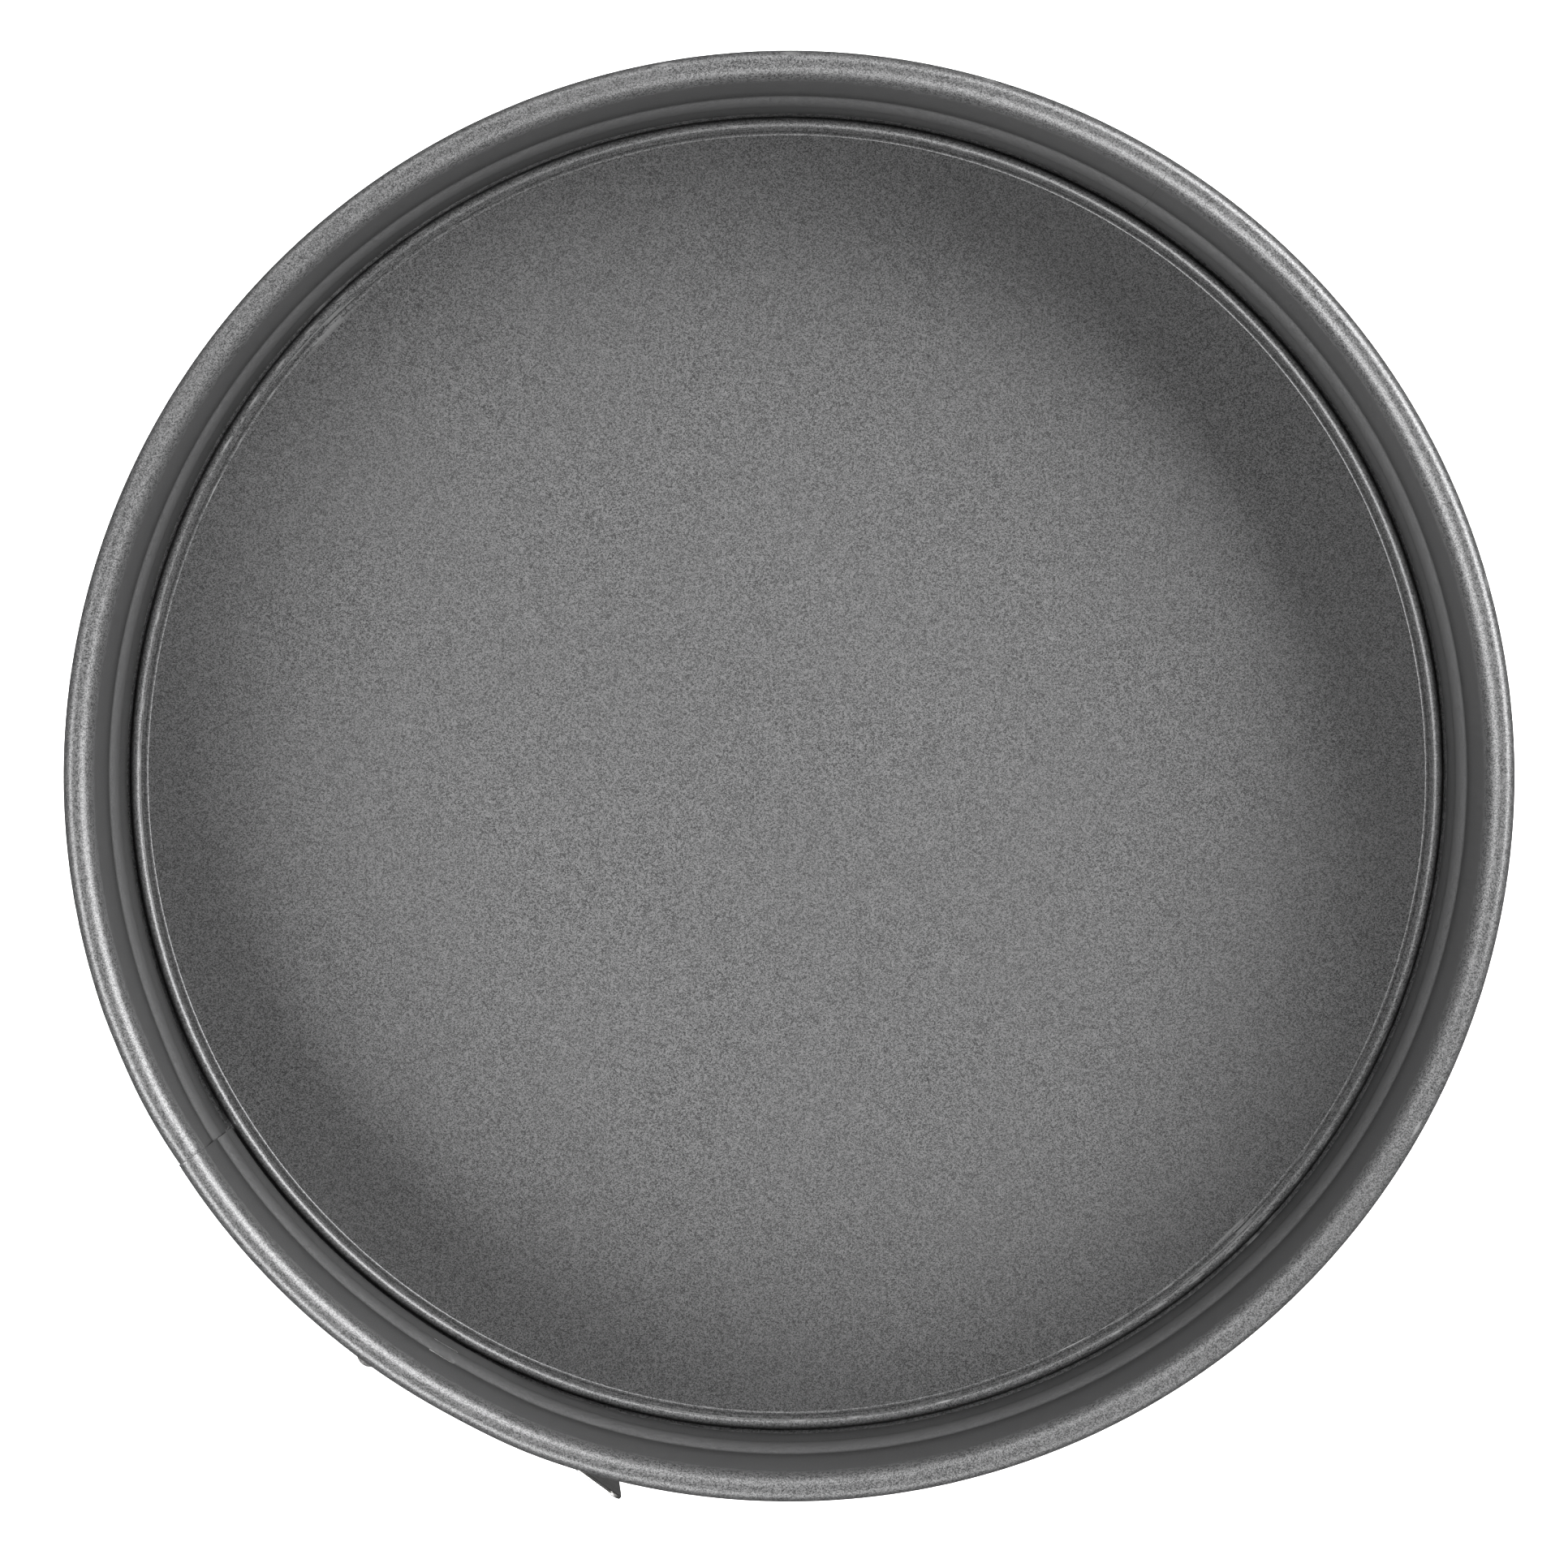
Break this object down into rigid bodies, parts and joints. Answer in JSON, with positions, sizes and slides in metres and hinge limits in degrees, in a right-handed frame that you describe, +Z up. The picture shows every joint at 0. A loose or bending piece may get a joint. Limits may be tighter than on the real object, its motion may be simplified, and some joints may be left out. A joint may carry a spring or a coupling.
{
  "type": "springform pan",
  "caption": "Round springform baking pan with a lift-out flanged base, a rolled-rim side band and an over-centre lever latch that opens the band.",
  "frame": {"origin": "centre of the circle that the band's lower edge stands on", "axes": "+Z up out of the open pan; the latch's pivot lies at 239 degrees from +X, counter-clockwise seen from above"},
  "size_m": [0.2816, 0.2848, 0.065],
  "materials": {
    "nonstick_steel": "dark grey metallic non-stick coating with a fine grain, on thin steel",
    "plated_steel": "bright nickel-plated sheet steel"
  },
  "bodies": {
    "base": {"base_plate": "nonstick_steel"},
    "ring": {"band_latch_half": "nonstick_steel", "lever_bracket": "plated_steel", "lever_rivets": "plated_steel"},
    "catch_side": {"band_catch_half": "nonstick_steel", "catch_bracket": "plated_steel", "catch_pin": "plated_steel"},
    "lever": {"latch_lever": "plated_steel", "link_pin": "plated_steel"},
    "link": {"latch_link": "plated_steel"}
  },
  "joints": [
    {"name": "ring_lift", "type": "slide", "parent": "base", "child": "ring", "axis": [0, 0, 1], "range_m": [0, 0.09]},
    {"name": "lever_swing", "type": "hinge", "parent": "ring", "child": "lever", "pos_m": [-0.07167, -0.11993, 0.02905], "axis": [0, 0, -1], "range_deg": [0, 150]},
    {"name": "band_opening", "type": "hinge", "parent": "ring", "child": "catch_side", "pos_m": [0.07461, 0.1194, 0.0325], "axis": [0, 0, -1], "range_deg": [0, 3.06], "deforming": ["band_latch_half", "band_catch_half"]},
    {"name": "link_swing", "type": "hinge", "parent": "lever", "child": "link", "pos_m": [-0.06316, -0.12286, 0.02905], "axis": [0, 0, -1], "range_deg": [-126, 0]}
  ],
  "couplings": [
    {"joint": "band_opening", "follows": "lever_swing", "ratio": 0.020325},
    {"joint": "link_swing", "follows": "lever_swing", "ratio": -0.8377}
  ]
}
